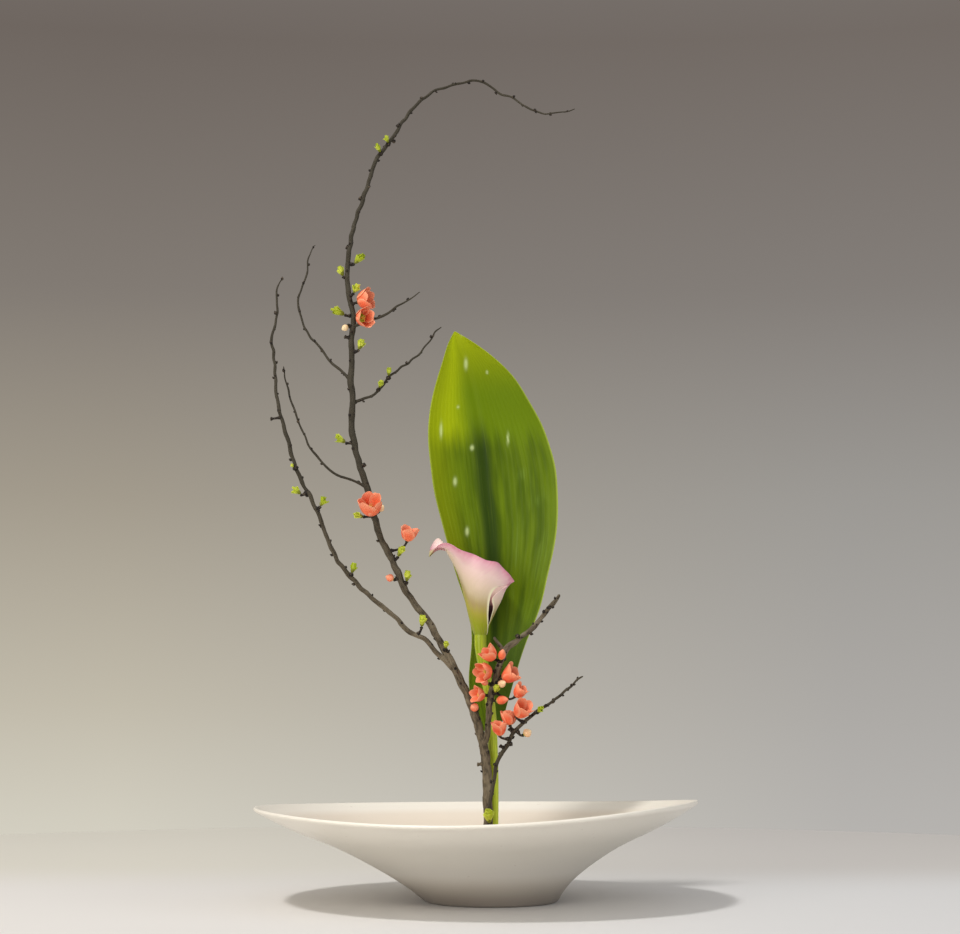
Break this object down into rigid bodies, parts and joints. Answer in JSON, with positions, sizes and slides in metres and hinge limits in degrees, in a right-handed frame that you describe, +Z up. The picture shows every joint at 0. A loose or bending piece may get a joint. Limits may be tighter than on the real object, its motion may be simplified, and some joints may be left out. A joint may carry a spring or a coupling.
{
  "type": "ikebana arrangement",
  "caption": "Wide pale stoneware bowl with a pin holder carrying an arching flowering branch, a short twig, a pink calla and one broad upright leaf.",
  "frame": {"origin": "on the surface the bowl stands on, below the middle of the rim", "axes": "+Z up, the longest extent; +X to the right seen from the front; +Y from the front to the back"},
  "size_m": [0.393, 0.393, 0.755],
  "materials": {
    "glazed_stoneware": "satin glaze",
    "holder_lead": "dull cast",
    "holder_rubber": "matte",
    "holder_brass": "polished",
    "quince_bark": "rough bark",
    "young_leaf": "soft waxy leaf",
    "quince_petal": "soft petal",
    "calla_stem": "smooth waxy stem",
    "calla_spadix": "fine grained",
    "calla_spathe": "velvety petal",
    "aspidistra_leaf": "glossy leaf"
  },
  "bodies": {
    "root": {"bowl": "glazed_stoneware", "holder_base": "holder_lead", "holder_rubber_ring": "holder_rubber", "holder_pins": "holder_brass", "quince_branch": "quince_bark", "quince_low_twig": "quince_bark", "branch_tuft_01": "young_leaf", "branch_tuft_02": "young_leaf", "branch_tuft_03": "young_leaf", "branch_tuft_04": "young_leaf", "branch_tuft_05": "young_leaf", "branch_tuft_06": "young_leaf", "branch_tuft_07": "young_leaf", "branch_tuft_08": "young_leaf", "branch_tuft_09": "young_leaf", "branch_tuft_10": "young_leaf", "branch_tuft_11": "young_leaf", "branch_tuft_12": "young_leaf", "branch_tuft_13": "young_leaf", "branch_tuft_14": "young_leaf", "branch_tuft_15": "young_leaf", "branch_tuft_16": "young_leaf", "branch_tuft_17": "young_leaf", "branch_tuft_18": "young_leaf", "branch_tuft_19": "young_leaf", "branch_tuft_20": "young_leaf", "branch_blossom_01": "quince_petal", "branch_blossom_02": "quince_petal", "branch_blossom_03": "quince_petal", "branch_blossom_04": "quince_petal", "branch_blossom_05": "quince_petal", "branch_blossom_06": "quince_petal", "branch_blossom_07": "quince_petal", "branch_blossom_08": "quince_petal", "branch_blossom_09": "quince_petal", "branch_bud_01": "quince_petal", "branch_bud_02": "quince_petal", "branch_bud_03": "quince_petal", "branch_bud_04": "quince_petal", "branch_bud_05": "quince_petal", "branch_bud_06": "quince_petal", "branch_bud_07": "quince_petal", "branch_bud_08": "quince_petal", "low_twig_tuft_01": "young_leaf", "low_twig_tuft_02": "young_leaf", "low_twig_blossom_01": "quince_petal", "low_twig_blossom_02": "quince_petal", "low_twig_blossom_03": "quince_petal", "low_twig_bud_01": "quince_petal", "calla_stem": "calla_stem", "calla_spadix": "calla_spadix", "calla_spathe": "calla_spathe", "aspidistra_leaf": "aspidistra_leaf"}
  },
  "joints": []
}
